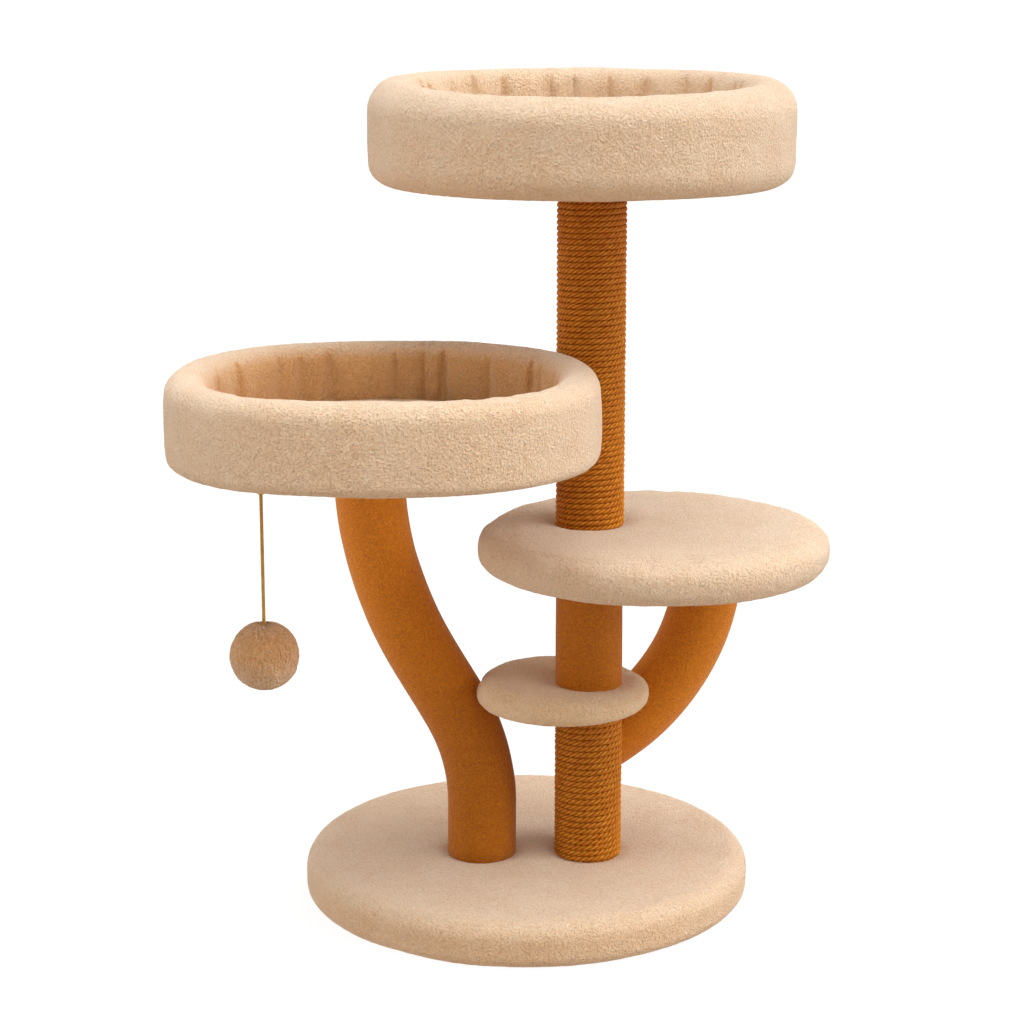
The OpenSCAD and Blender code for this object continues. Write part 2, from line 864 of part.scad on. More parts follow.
base_liner();
base_board_lower();
base_board_upper();
base_cover();
base_bolts();
base_washers();
trunk_lower_tube();
trunk_lower_rope();
trunk_mid_tube();
trunk_mid_sleeve();
trunk_upper_tube();
trunk_upper_rope();
trunk_plugs();
trunk_inserts();
trunk_studs();
trunk_anchor_block();
step_board();
step_cover();
platform_board();
platform_cover();
left_post_tube_lower();
left_post_tube_upper();
left_post_sleeve_lower();
left_post_sleeve_upper();
left_post_dowel();
left_post_plugs();
left_post_inserts();
branch_tube();
branch_sleeve();
branch_plugs();
branch_end_cap();
branch_insert();
branch_top_bolt();
branch_cross_bolts();
branch_washers();
left_bed_board();
left_bed_underside();
left_bed_bolster();
left_bed_lining();
left_bed_cushion();
left_bed_bolt();
left_bed_washer();
top_bed_board();
top_bed_underside();
top_bed_bolster();
top_bed_lining();
top_bed_cushion();
top_bed_bolt();
top_bed_washer();
toy_eye();
toy_ring();
toy_loop();
toy_string();
toy_ball_core();
toy_ball_cover();
toy_knot();
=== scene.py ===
"""Cat tree: the looks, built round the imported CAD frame. Metres, +Z up, -Y the front."""
import json
import math

import bpy
import numpy as np
from mathutils import Matrix, Vector


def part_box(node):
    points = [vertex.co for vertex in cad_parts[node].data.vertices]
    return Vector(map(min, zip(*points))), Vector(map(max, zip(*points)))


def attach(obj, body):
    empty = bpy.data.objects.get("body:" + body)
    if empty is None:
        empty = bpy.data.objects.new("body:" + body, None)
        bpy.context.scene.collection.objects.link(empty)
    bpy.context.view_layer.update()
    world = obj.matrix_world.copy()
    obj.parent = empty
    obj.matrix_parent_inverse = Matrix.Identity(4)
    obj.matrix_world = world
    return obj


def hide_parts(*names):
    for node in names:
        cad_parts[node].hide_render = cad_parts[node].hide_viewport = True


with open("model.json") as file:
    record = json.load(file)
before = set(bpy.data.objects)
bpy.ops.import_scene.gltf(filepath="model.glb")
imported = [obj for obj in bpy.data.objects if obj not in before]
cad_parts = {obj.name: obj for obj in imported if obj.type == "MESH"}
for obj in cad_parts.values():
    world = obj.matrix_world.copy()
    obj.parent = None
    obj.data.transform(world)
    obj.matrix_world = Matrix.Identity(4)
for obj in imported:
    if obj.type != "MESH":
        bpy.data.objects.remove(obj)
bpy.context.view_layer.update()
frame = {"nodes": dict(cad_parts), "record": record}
NODES = frame["nodes"]
MM = 0.001
TAU = 2 * math.pi

# ---------------------------------------------------------------- places, from the frame


def middle(node):
    """Centre of a CAD node's box, as (x, y)."""
    lo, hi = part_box(node)
    return (lo.x + hi.x) / 2, (lo.y + hi.y) / 2


def heights(node):
    """Bottom and top of a CAD node."""
    lo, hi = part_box(node)
    return lo.z, hi.z


def half_width(node):
    """Radius of an upright round CAD node."""
    lo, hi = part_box(node)
    return max(hi.x - lo.x, hi.y - lo.y) / 2


TRUNK = middle("trunk_upper_rope")
ROPE_R = half_width("trunk_upper_rope")
MID_R = half_width("trunk_mid_sleeve")
ROPE_D = 6 * MM

# The S-shaped post, as in the CAD: two halves, each a straight, a bend and a leaning straight
POST_FOOT = (-50.4 * MM, -25.2 * MM)
POST_R = 38.5 * MM
POST_LEAN = math.asin(0.5376)
POST_TILT = math.asin(0.28) - math.asin(0.07584)
POST_AZIMUTH = math.pi + math.asin(0.352)
POST_TWIST = math.pi / 2 + POST_LEAN
POST_BENDS = (205 * MM, 370 * MM)
POST_STRAIGHT = 65.5 * MM
POST_HALF = 31.5 * MM

# The branch's centreline: an arc in an upright plane behind the trunk, then upright
BRANCH_R = 38 * MM
BRANCH_BACK = 71 * MM
BRANCH_AZIMUTH = math.radians(7)
BRANCH_BEND = 244 * MM
BRANCH_TURN = math.radians(70)
BRANCH_CENTRE = (-103.5 * MM, 370 * MM)

# The felt sleeves' seams
SEAM_DEPTH = 1.1 * MM
SEAM_WIDTH = 1.6 * MM

# The toy hangs on one vertical line; depths of the string's points below its top, as in the CAD
TOY = middle("toy_string")
STRING_TOP = heights("toy_string")[1]
STRING_ROUTE = range(0, 161, 10)
STRING_D = 3.4 * MM

# The small step: its centre and radius
STEP_XY = (40 * MM, -20 * MM)
STEP_R = 96 * MM

# Each cover's edge radii (top, bottom), and how deep and how wide its pile is pressed round the posts
BASE_EDGES = (21 * MM, 14 * MM)
BASE_DENT = (2.6 * MM, 6 * MM)
PLATFORM_EDGES = (21 * MM, 16 * MM)
PLATFORM_DENT = (3.5 * MM, 9 * MM)
STEP_EDGES = (16 * MM, 14.5 * MM)
STEP_DENT = (7.5 * MM, 26 * MM)
CROWN = 1.0 * MM

# The beds' bolsters: wall width, how far the cloth stays inside the CAD ring, radii (across, up) of the
# outer shoulder and the inner lip, foot radius, squareness (back left, back right, front; 2 is round),
# how far the front of the rim dips, number of gathers, random seed, and how much painted shade the inside
# gets
BEDS = {
    "left_bed": {"wall": 45 * MM, "slim": 3 * MM, "shoulder": (16 * MM, 18 * MM),
                 "lip": (14 * MM, 17 * MM), "foot": 11 * MM, "squareness": (2.42, 2.27, 2.42),
                 "dip": -1.0 * MM, "creases": 27, "seed": 21, "shade": 1.0},
    "top_bed": {"wall": 50 * MM, "slim": 1.5 * MM, "shoulder": (28 * MM, 33 * MM),
                "lip": (13 * MM, 15 * MM), "foot": 25 * MM, "squareness": (2.4, 2.25, 2.12),
                "dip": 14 * MM, "creases": 29, "seed": 34, "shade": 0.1},
}

# The beds' loose mats: edge radius, and how high the cloth rises in the middle
MAT_EDGE = 6 * MM
MAT_CROWN = 3 * MM

# Rope: how far each section starts below its lower end, the windings' pitch, the seed; lay of its strands
ROPES = {"trunk_lower_rope": (0, 6.8 * MM, 5), "trunk_upper_rope": (7 * MM, 6.25 * MM, 9)}
ROPE_LAY = 25 * MM
STRING_LAY = 6 * MM

# ---------------------------------------------------------------- noise and mesh helpers


def lattice(ix, iy, iz, seed):
    """A repeatable random number in -1..1 for each lattice point."""
    h = (ix.astype(np.uint32) * np.uint32(374761393) + iy.astype(np.uint32) * np.uint32(668265263)
         + iz.astype(np.uint32) * np.uint32(2147483647) + np.uint32(seed * 144665 + 1013))
    h = (h ^ (h >> np.uint32(13))) * np.uint32(1274126177)
    h = h ^ (h >> np.uint32(16))
    return h.astype(np.float64) / 2147483648.0 - 1.0


def noise(points, size, seed):
    """Smooth value noise in -1..1 with features of the given size."""
    p = np.asarray(points, float) / size + 1000.0
    cell = np.floor(p).astype(np.int64)
    f = p - cell
    f = f * f * (3 - 2 * f)
    total = 0
    for dx in (0, 1):
        for dy in (0, 1):
            for dz in (0, 1):
                w = ((f[:, 0] if dx else 1 - f[:, 0]) * (f[:, 1] if dy else 1 - f[:, 1])
                     * (f[:, 2] if dz else 1 - f[:, 2]))
                total = total + w * lattice(cell[:, 0] + dx, cell[:, 1] + dy, cell[:, 2] + dz, seed)
    return total


def smoothstep(x, low, high):
    """0 below low, 1 above high, smooth between."""
    t = np.clip((x - low) / (high - low), 0, 1)
    return t * t * (3 - 2 * t)


def ring_faces(rows, cols, closed_rows=False):
    """Quads of a grid of rows that each close on themselves."""
    r = np.arange(rows if closed_rows else rows - 1)[:, None]
    c = np.arange(cols)[None, :]
    nr, nc = (r + 1) % rows, (c + 1) % cols
    quads = np.stack([r * cols + c, r * cols + nc, nr * cols + nc, nr * cols + c], axis=-1)
    return quads.reshape(-1, 4)


def new_mesh(name, points, quads, extra=(), material=None, smooth=True):
    """A mesh object from an array of points, an array of quads and a list of other faces."""
    mesh = bpy.data.meshes.new(name)
    faces = [tuple(q) for q in quads.tolist()] + [tuple(f) for f in extra]
    mesh.from_pydata(np.asarray(points, float).tolist(), [], faces)
    mesh.validate()
    mesh.update()
    if smooth:
        mesh.polygons.foreach_set("use_smooth", [True] * len(mesh.polygons))
    obj = bpy.data.objects.new(name, mesh)
    bpy.context.scene.collection.objects.link(obj)
    if material:
        mesh.materials.append(material)
    return obj


def skin(name, rows, ends, material, flip=False):
    """A closed mesh from equal rows of points, and the two end points that close its ends."""
    n, segments = len(rows), len(rows[0])
    last = (n - 1) * segments
    flat = np.concatenate([np.reshape(rows, (-1, 3)), ends])
    quads = ring_faces(n, segments)
    fans = [(n * segments, (k + 1) % segments, k) for k in range(segments)]
    fans += [(n * segments + 1, last + k, last + (k + 1) % segments) for k in range(segments)]
    if flip:
        quads = quads[:, ::-1]
        fans = [(centre, b, a) for centre, a, b in fans]
    return new_mesh(name, flat, quads, fans, material)


def coordinates(obj):
    """The mesh points as an array."""
    co = np.empty(len(obj.data.vertices) * 3)
    obj.data.vertices.foreach_get("co", co)
    return co.reshape(-1, 3)


def normals(obj):
    """The points' normals as an array."""
    no = np.empty(len(obj.data.vertices) * 3)
    obj.data.vertices.foreach_get("normal", no)
    return no.reshape(-1, 3)


def set_coordinates(obj, points):
    """Moves the mesh points to those of an array."""
    obj.data.vertices.foreach_set("co", np.asarray(points, float).ravel())
    obj.data.update()


def puff(obj, amounts):
    """Moves each point along its normal by its amount."""
    set_coordinates(obj, coordinates(obj) + normals(obj) * np.asarray(amounts)[:, None])


def set_painted_shade(obj, values):
    """Stores painted shade per point, mostly 0..1 and up to 1.6, for the plush, felt and sisal materials.
    """
    layer = obj.data.attributes.new("lie", "FLOAT", "POINT")
    layer.data.foreach_set("value", np.asarray(values, float))


def pile(obj, seed, clump=0.4 * MM, sway=0.9 * MM):
    """How unevenly short pile lies: slow swells and small clumps."""
    p = coordinates(obj)
    slow = noise(p, 70 * MM, seed) * sway
    small = noise(p, 6 * MM, seed + 1) * 0.6 + noise(p, 3.2 * MM, seed + 2) * 0.4
    puff(obj, slow + clump * small)


# ---------------------------------------------------------------- materials


def colour(r, g, b):
    """Linear colour from 0-255 screen values."""
    screen = [v / 255 for v in (r, g, b)]
    return (*(v / 12.92 if v <= 0.04045 else ((v + 0.055) / 1.055) ** 2.4 for v in screen), 1)


class Shader:
    """A small helper for node materials: shader = Shader("name"), then chains of nodes."""

    def __init__(self, name):
        self.material = bpy.data.materials.new(name)
        self.material.use_nodes = True
        self.tree = self.material.node_tree
        self.bsdf = self.tree.nodes["Principled BSDF"]
        self.place = self.node("ShaderNodeTexCoord").outputs["Object"]

    def node(self, kind, **values):
        """A new node; each value goes to the input of its name, or else is a setting of the node."""
        n = self.tree.nodes.new(kind)
        for key, value in values.items():
            if key in n.inputs:
                n.inputs[key].default_value = value
            else:
                setattr(n, key, value)
        return n

    def link(self, a, b):
        self.tree.links.new(a, b)

    def stretched(self, scale, rotation=(0, 0, 0)):
        """Object coordinates scaled along each axis."""
        m = self.node("ShaderNodeMapping")
        m.inputs["Scale"].default_value = scale
        m.inputs["Rotation"].default_value = rotation
        self.link(self.place, m.inputs["Vector"])
        return m.outputs["Vector"]

    def noise(self, scale, detail=2, distortion=0.0, vector=None):
        """Noise with features of about 1 / scale metres."""
        n = self.node("ShaderNodeTexNoise", Scale=scale, Detail=detail, Distortion=distortion,
                      Roughness=0.5)
        self.link(vector or self.place, n.inputs["Vector"])
        return n.outputs["Fac"]

    def ramp(self, value, stops):
        """A colour ramp with stops of (position, colour)."""
        r = self.node("ShaderNodeValToRGB")
        ramp = r.color_ramp
        while len(ramp.elements) < len(stops):
            ramp.elements.new(0.5)
        for element, (position, c) in zip(ramp.elements, stops):
            element.position = position
            element.color = c
        self.link(value, r.inputs["Fac"])
        return r.outputs["Color"]

    def mix(self, factor, a, b, blend="MIX"):
        """A mix of two colours, each an output or a value."""
        m = self.node("ShaderNodeMix", data_type="RGBA", blend_type=blend)
        for socket, value in ((m.inputs["Factor"], factor), (m.inputs[6], a), (m.inputs[7], b)):
            if hasattr(value, "links"):
                self.link(value, socket)
            else:
                socket.default_value = value
        return m.outputs[2]

    def range(self, value, low, high, new_low, new_high):
        """The value moved from one range to another."""
        m = self.node("ShaderNodeMapRange")
        for key, v in zip(("From Min", "From Max", "To Min", "To Max"), (low, high, new_low, new_high)):
            m.inputs[key].default_value = v
        self.link(value, m.inputs["Value"])
        return m.outputs["Result"]

    def bump(self, *layers):
        """Bump from (height, strength, distance) layers, the last one on top."""
        last = None
        for height, strength, distance in layers:
            b = self.node("ShaderNodeBump", Strength=strength, Distance=distance)
            self.link(height, b.inputs["Height"])
            if last:
                self.link(last, b.inputs["Normal"])
            last = b.outputs["Normal"]
        self.link(last, self.bsdf.inputs["Normal"])

    def set(self, **values):
        """Sets the shader's own sockets, an underscore standing for a space."""
        for key, value in values.items():
            socket = self.bsdf.inputs[key.replace("_", " ")]
            if hasattr(value, "links"):
                self.link(value, socket)
            else:
                socket.default_value = value


# Painted shade: how much the colour deepens where the shade attribute is 1, by channel: plush, felt and
# rope
PILE_SHADE = (0.86, 0.63, 0.37, 1)
FELT_PAINTED_SHADE = (0.62, 0.57, 0.52, 1)
GROOVE_SHADE = (0.32, 0.2, 0.1, 1)


def plush(name, low, mid, high):
    """Short-pile plush: fine slanted strands in small clumps, with painted shade that deepens the colour
    where the shade attribute is set.
    """
    s = Shader(name)
    strands = s.noise(980, detail=2, distortion=0.7,
                      vector=s.stretched((1.0, 1.0, 0.8), (0.3, 0.25, 0.0)))
    clumps = s.noise(450, detail=2, distortion=0.35)
    # Slow random patches towards the pale end of the ramp: the plush's own tone, not shade.
    lie = s.noise(20, detail=2, distortion=0.6)
    tips = s.range(s.mix(0.5, strands, clumps), 0.34, 0.66, 0, 1)
    tone = s.ramp(tips, [(0.0, low), (0.5, mid), (1.0, high)])
    pile_colour = s.mix(s.range(lie, 0.35, 0.7, 0.0, 0.3), tone, high)
    # Painted shade: the colour is multiplied by PILE_SHADE as far as the shade attribute says.
    shaded = s.node("ShaderNodeAttribute", attribute_name="lie")
    pile_colour = s.mix(shaded.outputs["Fac"], pile_colour, s.mix(1.0, pile_colour, PILE_SHADE, "MULTIPLY"))
    s.set(Base_Color=pile_colour, Roughness=s.range(strands, 0.3, 0.7, 0.82, 1.0),
          Sheen_Weight=0.5, Sheen_Roughness=0.45, Sheen_Tint=(1.0, 0.97, 0.94, 1),
          Specular_IOR_Level=0.15)
    s.bump((clumps, 1.0, 0.0034), (strands, 0.8, 0.0014))
    return s.material


def felt(name, low, mid, high):
    """Needled felt: fine matted fibres with faint fleck, and painted shade where the shade attribute is
    set.
    """
    s = Shader(name)
    fibre = s.noise(1500, detail=4, distortion=1.2)
    fleck = s.noise(420, detail=3, distortion=0.5)
    cloud = s.noise(30, detail=2)
    tone = s.ramp(s.mix(0.4, fibre, fleck), [(0.33, low), (0.5, mid), (0.68, high)])
    tone = s.mix(s.range(cloud, 0.35, 0.7, 0.0, 0.25), tone, mid)
    # Painted shade: the felt's colour deepens as far as the shade attribute says.
    painted_felt_shade = s.node("ShaderNodeAttribute", attribute_name="lie")
    tone = s.mix(painted_felt_shade.outputs["Fac"], tone, s.mix(1.0, tone, FELT_PAINTED_SHADE, "MULTIPLY"))
    s.set(Base_Color=tone, Roughness=s.range(fleck, 0.3, 0.7, 0.8, 0.97), Sheen_Weight=0.12,
          Sheen_Roughness=0.4, Specular_IOR_Level=0.2)
    s.bump((fleck, 0.35, 0.0011), (fibre, 0.55, 0.0006))
    return s.material


def sisal(name, low, mid, high):
    """Twisted sisal: hard, slightly glossy fibres along the strands, with painted shade in the grooves of
    the cord.
    """
    s = Shader(name)
    fibre = s.noise(1300, detail=4, distortion=0.8, vector=s.stretched((1.0, 1.0, 1.6)))
    patch = s.noise(150, detail=2)
    tone = s.ramp(s.mix(0.35, fibre, patch), [(0.32, low), (0.5, mid), (0.7, high)])
    # Painted shade: the colour deepens by GROOVE_SHADE as far as the shade attribute says.
    painted_groove_shade = s.node("ShaderNodeAttribute", attribute_name="lie")
    tone = s.mix(painted_groove_shade.outputs["Fac"], tone, s.mix(1.0, tone, GROOVE_SHADE, "MULTIPLY"))
    s.set(Base_Color=tone, Roughness=s.range(fibre, 0.3, 0.7, 0.6, 0.85), Specular_IOR_Level=0.18)
    s.bump((fibre, 0.6, 0.0005),)
    return s.material


def chipboard(name):
    """Pressed wood chips with darker flakes."""
    s = Shader(name)
    flakes = s.node("ShaderNodeTexVoronoi", Scale=260.0)
    s.link(s.place, flakes.inputs["Vector"])
    grain = s.noise(600, detail=4, vector=s.stretched((1, 0.35, 2)))
    tone = s.ramp(s.mix(0.5, flakes.outputs["Distance"], grain),
                  [(0.2, colour(150, 116, 74)), (0.5, colour(203, 170, 122)),
                   (0.8, colour(226, 200, 156))])
    s.set(Base_Color=tone, Roughness=s.range(grain, 0.3, 0.7, 0.7, 0.9))
    s.bump((grain, 0.3, 0.0005),)
    return s.material


def timber(name):
    """Turned softwood with growth rings."""
    s = Shader(name)
    rings = s.node("ShaderNodeTexWave", Scale=60.0, Distortion=4.0, Detail=2.0)
    rings.wave_type = "RINGS"
    s.link(s.stretched((1, 1, 0.1)), rings.inputs["Vector"])
    tone = s.ramp(rings.outputs["Fac"], [(0.1, colour(186, 148, 98)), (0.9, colour(222, 190, 142))])
    s.set(Base_Color=tone, Roughness=s.range(rings.outputs["Fac"], 0, 1, 0.55, 0.75))
    s.bump((rings.outputs["Fac"], 0.15, 0.0004),)
    return s.material


def paperboard(name):
    """Spirally wound grey-brown paper tube."""
    s = Shader(name)
    wind = s.node("ShaderNodeTexWave", Scale=14.0, Distortion=0.4)
    wind.bands_direction = "Z"
    s.link(s.stretched((0.4, 0.4, 1)), wind.inputs["Vector"])
    pulp = s.noise(500, detail=3)
    tone = s.ramp(s.mix(0.35, pulp, wind.outputs["Fac"]),
                  [(0.25, colour(134, 110, 80)), (0.75, colour(178, 152, 116))])
    s.set(Base_Color=tone, Roughness=s.range(pulp, 0.3, 0.7, 0.75, 0.92))
    s.bump((pulp, 0.2, 0.0004),)
    return s.material


def zinc(name):
    """Zinc-plated steel, faintly mottled."""
    s = Shader(name)
    mottle = s.noise(350, detail=4)
    s.set(Base_Color=s.ramp(mottle, [(0.3, colour(160, 164, 170)), (0.7, colour(205, 208, 212))]),
          Roughness=s.range(mottle, 0.3, 0.7, 0.22, 0.42), Metallic=1.0)
    s.bump((mottle, 0.08, 0.0002),)
    return s.material


def needle_felt(name):
    """The dark liner under the base."""
    s = Shader(name)
    fibre = s.noise(900, detail=4, distortion=1.0)
    s.set(Base_Color=s.ramp(fibre, [(0.35, colour(38, 36, 35)), (0.68, colour(84, 80, 76))]),
          Roughness=s.range(fibre, 0.3, 0.7, 0.85, 1.0), Sheen_Weight=0.1)
    s.bump((fibre, 0.6, 0.0008),)
    return s.material


def foam(name):
    """Open-cell foam."""
    s = Shader(name)
    cells = s.node("ShaderNodeTexVoronoi", Scale=900.0)
    s.link(s.place, cells.inputs["Vector"])
    tone = s.ramp(cells.outputs["Distance"], [(0.1, colour(206, 196, 168)), (0.7, colour(236, 228, 204))])
    s.set(Base_Color=tone,
          Roughness=s.range(cells.outputs["Distance"], 0, 1, 0.8, 0.95))
    s.bump((cells.outputs["Distance"], 0.3, 0.0006),)
    return s.material


MATERIALS = {
    "plush": plush("plush", colour(226, 179, 131), colour(246, 210, 168), colour(254, 230, 196)),
    "plush_light": plush("plush_light", colour(213, 171, 132), colour(241, 208, 173),
                         colour(253, 234, 209)),
    "ball_plush": plush("ball_plush", colour(208, 166, 126), colour(226, 188, 150),
                        colour(240, 209, 176)),
    "felt": felt("felt", colour(156, 83, 10), colour(214, 127, 24), colour(247, 168, 50)),
    "sisal": sisal("sisal", colour(186, 101, 14), colour(229, 141, 31), colour(251, 186, 66)),
    "board": chipboard("board"),
    "plug_wood": timber("plug_wood"),
    "paper_tube": paperboard("paper_tube"),
    "zinc_steel": zinc("zinc_steel"),
    "liner": needle_felt("liner"),
    "ball_foam": foam("ball_foam"),
    "string": sisal("string", colour(196, 146, 44), colour(234, 186, 84), colour(250, 220, 136)),
}

for part in frame["record"]["subparts"]:
    cad_mesh = NODES[part["node"]].data
    cad_mesh.materials.clear()
    cad_mesh.materials.append(MATERIALS[part["material_slot"]])


def finish_piece(obj, body, slot, *cad_nodes):
    """Rides the piece on its body and hides the CAD nodes it stands for; its slot is not used."""
    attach(obj, body)
    if cad_nodes:
        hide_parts(*cad_nodes)
    return obj


# ---------------------------------------------------------------- camera, light, stage


# Light: colours of the studio from below, the side and above; how dim its front is; and the suns,
# each with its strength, spread in degrees and the direction that it stands in
BELOW_LIGHT = (0.78, 0.62, 0.47, 1)
SIDE_LIGHT = (0.84, 0.82, 0.79, 1)
TOP_LIGHT = (0.50, 0.49, 0.475, 1)
FRONT_DIM = 0.70
SUNS = {"top_sun": (3.0, 62, (0.26, -0.14, 0.95)), "right_sun": (1.15, 40, (0.92, -0.2, 0.34)),
        "left_sun": (0.8, 40, (-0.95, -0.1, 0.25))}


# Floor: half its width in metres, and how much it glows
FLOOR_HALF = 300
FLOOR_GLOW = 0.93
# Camera: focal length and sensor in millimetres, place in metres, and degrees that it looks down
LENS, SENSOR = 83.2, 36
CAMERA_PLACE = (-0.0164, -2.5559, 1.0069)
CAMERA_DOWN = 12.594


def make_camera():
    """The camera that the photo was fitted with."""
    data = bpy.data.cameras.new("camera")
    data.lens = LENS
    data.sensor_width = SENSOR
    data.clip_end = 2 * FLOOR_HALF
    camera = bpy.data.objects.new("camera", data)
    camera.location = CAMERA_PLACE
    camera.rotation_euler = (math.radians(90 - CAMERA_DOWN), 0, 0)
    bpy.context.scene.collection.objects.link(camera)
    bpy.context.scene.camera = camera


def make_light():
    """A soft studio: a bright overhead, white sides, a dimmer front and warm light from below."""
    world = bpy.data.worlds.new("studio")
    bpy.context.scene.world = world
    world.use_nodes = True
    nodes, links = world.node_tree.nodes, world.node_tree.links
    place = nodes.new("ShaderNodeTexCoord")
    axes = nodes.new("ShaderNodeSeparateXYZ")
    links.new(place.outputs["Generated"], axes.inputs["Vector"])
    height = nodes.new("ShaderNodeMapRange")
    height.inputs["From Min"].default_value = -1
    links.new(axes.outputs["Z"], height.inputs["Value"])
    ramp = nodes.new("ShaderNodeValToRGB")
    stops = ramp.color_ramp.elements
    stops[0].position, stops[0].color = 0.42, BELOW_LIGHT
    stops[1].position, stops[1].color = 0.56, SIDE_LIGHT
    stops.new(0.9).color = TOP_LIGHT
    links.new(height.outputs["Result"], ramp.inputs["Fac"])
    facing = nodes.new("ShaderNodeMapRange")
    facing.inputs["From Min"].default_value = -1
    facing.inputs["To Min"].default_value = FRONT_DIM
    facing.inputs["From Max"].default_value = 0.1
    links.new(axes.outputs["Y"], facing.inputs["Value"])
    dome = nodes["Background"]
    links.new(ramp.outputs["Color"], dome.inputs["Color"])
    links.new(facing.outputs["Result"], dome.inputs["Strength"])
    seen = nodes.new("ShaderNodeBackground")
    seen.inputs["Color"].default_value = (1, 1, 1, 1)
    path = nodes.new("ShaderNodeLightPath")
    mix = nodes.new("ShaderNodeMixShader")
    links.new(path.outputs["Is Camera Ray"], mix.inputs["Fac"])
    links.new(dome.outputs["Background"], mix.inputs[1])
    links.new(seen.outputs["Background"], mix.inputs[2])
    links.new(mix.outputs["Shader"], nodes["World Output"].inputs["Surface"])
    for name, (strength, spread, towards) in SUNS.items():
        data = bpy.data.lights.new(name, "SUN")
        data.energy = strength
        data.angle = math.radians(spread)
        light = bpy.data.objects.new(name, data)
        light.rotation_euler = (-Vector(towards)).to_track_quat("-Z", "Y").to_euler()
        bpy.context.scene.collection.objects.link(light)
    bpy.context.scene.view_settings.view_transform = "Standard"


def make_floor():
    """A pale floor out to the horizon, which does not bounce light on to the object."""
    s = Shader("pale_floor")
    tone = s.ramp(s.noise(3, detail=1), [(0.3, (0.09, 0.09, 0.09, 1)), (0.7, (0.11, 0.11, 0.11, 1))])
    s.set(Base_Color=tone, Roughness=0.9, Specular_IOR_Level=0.0, Emission_Color=(1, 1, 1, 1),
          Emission_Strength=FLOOR_GLOW)
    half = FLOOR_HALF
    points = [(-half, -half, 0), (half, -half, 0), (half, half, 0), (-half, half, 0)]
    floor = new_mesh("floor", points, np.array([[0, 1, 2, 3]]), material=s.material, smooth=False)
    floor.visible_diffuse = False


# ---------------------------------------------------------------- flat pads


def pad(name, centre, outline, z0, z1, edges, material, segments=420, step=3.4 * MM, hollow=None):
    """A round pad: outline(angle) is its radius, and hollow, as (radius, height), opens it below."""
    top_edge, bottom_edge = edges
    angles = np.arange(segments) / segments * TAU
    radius = np.array([outline(a) for a in angles])
    edge = max(top_edge, bottom_edge)
    inner = radius - edge
    count = int(radius.mean() / step)
    rows = []

    def row(u, reach, z):
        """A ring of points at a share u of the inner radius, reach further out, at height z."""
        rows.append((u, reach, z))

    for u in np.linspace(0, 1, count)[1:]:
        row(u, edge - top_edge if u == 1 else 0, z1)
    for a in np.linspace(0, math.pi / 2, 12)[1:]:
        row(1, edge - top_edge + top_edge * math.sin(a), z1 - top_edge * (1 - math.cos(a)))
    side = (z1 - top_edge) - (z0 + bottom_edge)
    side_rows = max(int(side / step), 1)
    for k in range(1, side_rows):
        row(1, edge, z1 - top_edge - side * k / side_rows)
    for a in np.linspace(math.pi / 2, 0, 12):
        row(1, edge - bottom_edge + bottom_edge * math.sin(a), z0 + bottom_edge * (1 - math.cos(a)))
    if hollow:
        open_r, open_z = hollow
        u0 = open_r / inner.mean()
        for u in np.linspace(1, u0, 8)[1:]:
            row(u, 0, z0)
        row(u0, 0, open_z)
        for u in np.linspace(u0, 0, 20)[1:-1]:
            row(u, 0, open_z)
    else:
        for u in np.linspace(1, 0, count)[1:-1]:
            row(u, 0, z0)
    x0, y0 = centre
    points = []
    for u, reach, z in rows:
        r = u * inner + reach
        x, y = x0 + r * np.cos(angles), y0 + r * np.sin(angles)
        points.append(np.stack([x, y, np.full(segments, z)], axis=1))
    ends = [(x0, y0, z1), (x0, y0, hollow[1] if hollow else z0)]
    return skin(name, points, ends, material, flip=True)


def press(obj, centre, radius, crown, posts, dent):
    """Crowns the pad's top a little, and sinks it where posts, each (x, y, r), press into it."""
    p = coordinates(obj)
    up = smoothstep(normals(obj)[:, 2], 0.3, 0.8)
    far = np.hypot(p[:, 0] - centre[0], p[:, 1] - centre[1]) / radius
    p[:, 2] += up * crown * np.clip(1 - far ** 2, 0, 1)
    for px, py, pr in posts:
        away = np.clip(np.hypot(p[:, 0] - px, p[:, 1] - py) - pr, 0, None)
        p[:, 2] -= up * dent[0] * np.exp(-(away / dent[1]) ** 1.4)
    set_coordinates(obj, p)


def remesh(obj, size):
    """Rebuilds the mesh evenly, with faces of the given size."""
    obj.data.remesh_voxel_size = size
    with bpy.context.temp_override(active_object=obj, object=obj, selected_objects=[obj]):
        bpy.ops.object.voxel_remesh()


def stuff(obj, size, pressure, cap, posts):
    """Swells a closed pad as cloth over its filling, held along its bottom and round the posts."""
    remesh(obj, size)
    p = coordinates(obj)
    held = p[:, 2] < p[:, 2].min() + 2 * MM
    near = np.full(len(p), 1.0)
    for px, py, pr in posts:
        away = np.hypot(p[:, 0] - px, p[:, 1] - py) - pr
        held |= away < 0
        near = np.minimum(near, smoothstep(away, 0, 25 * MM))
    inflate(obj, held, pressure, cap * (0.15 + 0.85 * near), slack=0.008, frames_run=14)
    subdivide(obj)


def step_outline(angle):
    """The step is round, but coped at the back left, where the left post passes behind it."""
    foot, lean = post_frames()[1]
    x0, y0 = STEP_XY
    level = sum(heights("step_cover")) / 2
    reach = (level - foot[2]) / lean[2]
    post = foot + lean * reach
    for r in np.arange(STEP_R, STEP_R * 0.75, -0.5 * MM):
        gap = np.array([x0 + r * math.cos(angle), y0 + r * math.sin(angle), level]) - post
        if np.linalg.norm(gap - lean * gap.dot(lean)) > POST_R + 0.4 * MM:
            break
    return r


# ---------------------------------------------------------------- centrelines


def turn(axis, angle):
    """Rotation matrix about axis 0, 1 or 2."""
    c, s = math.cos(angle), math.sin(angle)
    a, b = [(1, 2), (2, 0), (0, 1)][axis]
    m = np.eye(3)
    m[a, a] = m[b, b] = c
    m[a, b], m[b, a] = -s, s
    return m


